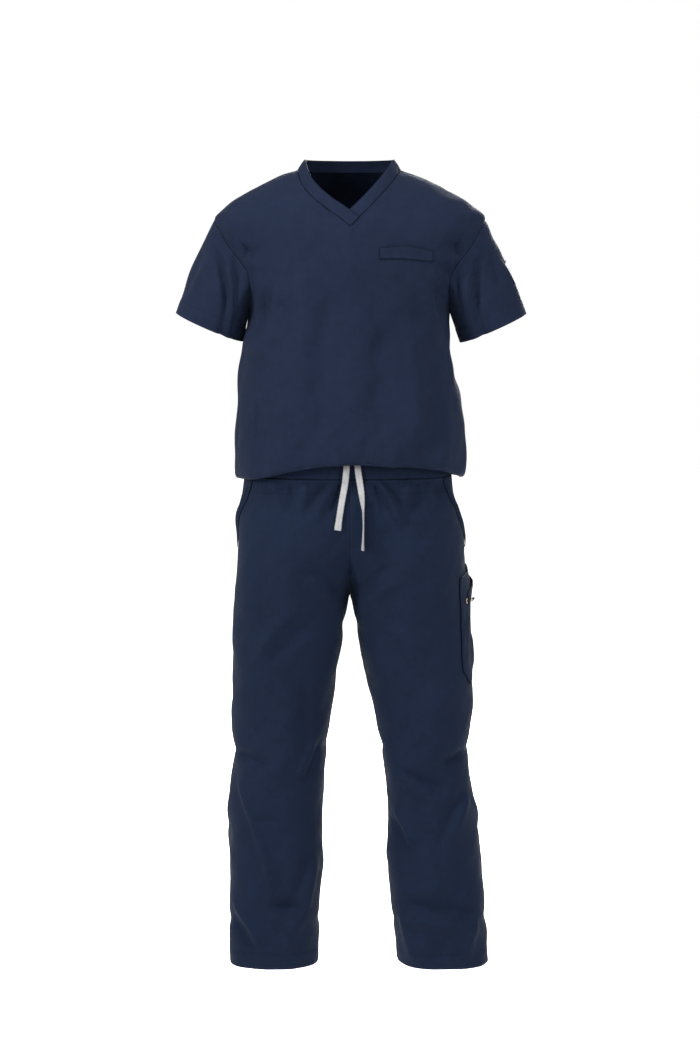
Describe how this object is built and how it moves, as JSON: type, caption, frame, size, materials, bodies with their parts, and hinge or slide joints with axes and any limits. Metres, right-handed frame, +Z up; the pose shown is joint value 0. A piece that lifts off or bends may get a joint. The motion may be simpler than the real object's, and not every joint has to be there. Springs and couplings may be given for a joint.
{
  "type": "medical scrubs set",
  "caption": "V-neck short-sleeved top with a chest pocket, bloused into straight drawstring trousers with a cargo pocket, in the hollow form it is worn in.",
  "frame": {"origin": "between the neck points of the shoulders, where the wearer's shoulders carry the top", "axes": "+Z up along the wearer, -Y to the front of the garment, +X towards the wearer's left sleeve"},
  "size_m": [0.6445, 0.2954, 1.4988],
  "materials": {
    "top_twill": "navy stretch twill, matt with a faint sheen",
    "trouser_twill": "navy stretch twill, matt with a faint sheen",
    "drawstring_tape": "flat woven tape, pale grey",
    "label_white": "plain woven label, left bare",
    "brass": "dull antique brass",
    "black_elastic": "round covered elastic, matt",
    "black_plastic": "moulded cord end, satin"
  },
  "bodies": {
    "root": {"top_front": "top_twill", "top_back": "top_twill", "sleeve_right": "top_twill", "sleeve_left": "top_twill", "neckband": "top_twill", "chest_welt": "top_twill", "sleeve_label": "label_white", "waistband": "trouser_twill", "trouser_front_right": "trouser_twill", "trouser_front_left": "trouser_twill", "trouser_back_right": "trouser_twill", "trouser_back_left": "trouser_twill", "hand_pocket_right": "trouser_twill", "hand_pocket_left": "trouser_twill", "cargo_pocket": "trouser_twill", "cargo_lip": "trouser_twill", "cargo_eyelet": "brass", "cargo_cord": "black_elastic", "cargo_cord_end": "black_plastic", "drawstring_right": "drawstring_tape", "drawstring_left": "drawstring_tape"}
  },
  "joints": []
}
